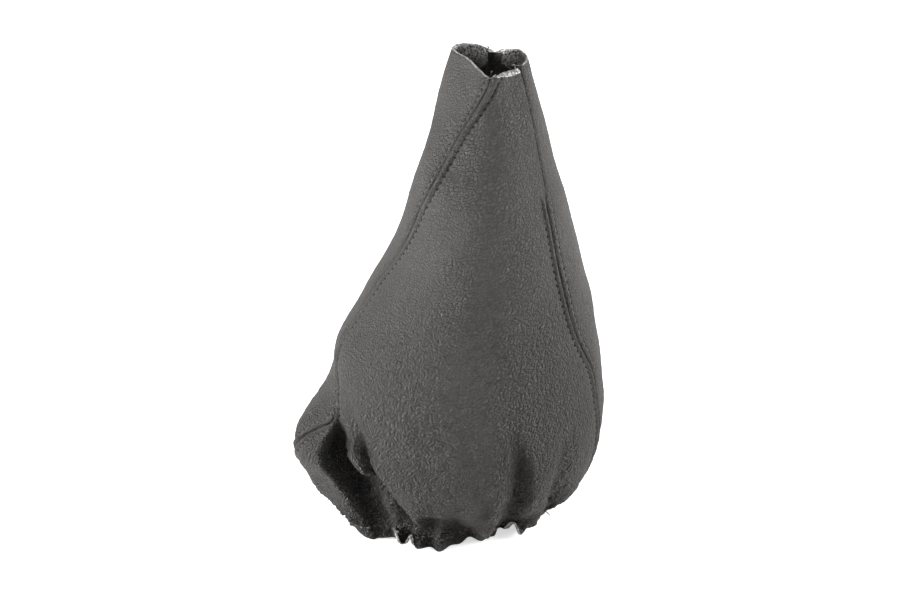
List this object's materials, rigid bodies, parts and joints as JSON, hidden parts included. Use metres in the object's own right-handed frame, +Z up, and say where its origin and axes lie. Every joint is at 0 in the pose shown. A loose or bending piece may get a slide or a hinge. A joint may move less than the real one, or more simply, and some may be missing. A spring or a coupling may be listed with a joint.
{
  "type": "gear lever gaiter",
  "caption": "Sewn leather gaiter with a narrow open neck and a wide gathered hem, standing on its hem.",
  "frame": {"origin": "middle of the footprint, on the floor under the hem", "axes": "+Z up the gaiter towards the neck; -Y towards the side the picture shows; +X to its right"},
  "size_m": [0.1574, 0.1386, 0.246],
  "materials": {
    "leather": "soft pebbled grain, low sheen",
    "thread": "twisted polyester",
    "elastic": "woven elastic band"
  },
  "bodies": {
    "root": {"front_panel": "leather", "right_panel": "leather", "left_panel": "leather", "left_topstitch_front": "thread", "left_topstitch_rear": "thread", "left_seam_thread": "thread", "right_topstitch_front": "thread", "right_topstitch_rear": "thread", "right_seam_thread": "thread", "back_topstitch_left": "thread", "back_topstitch_right": "thread", "back_seam_thread": "thread", "hem_thread": "thread", "hem_elastic": "elastic"}
  },
  "joints": []
}
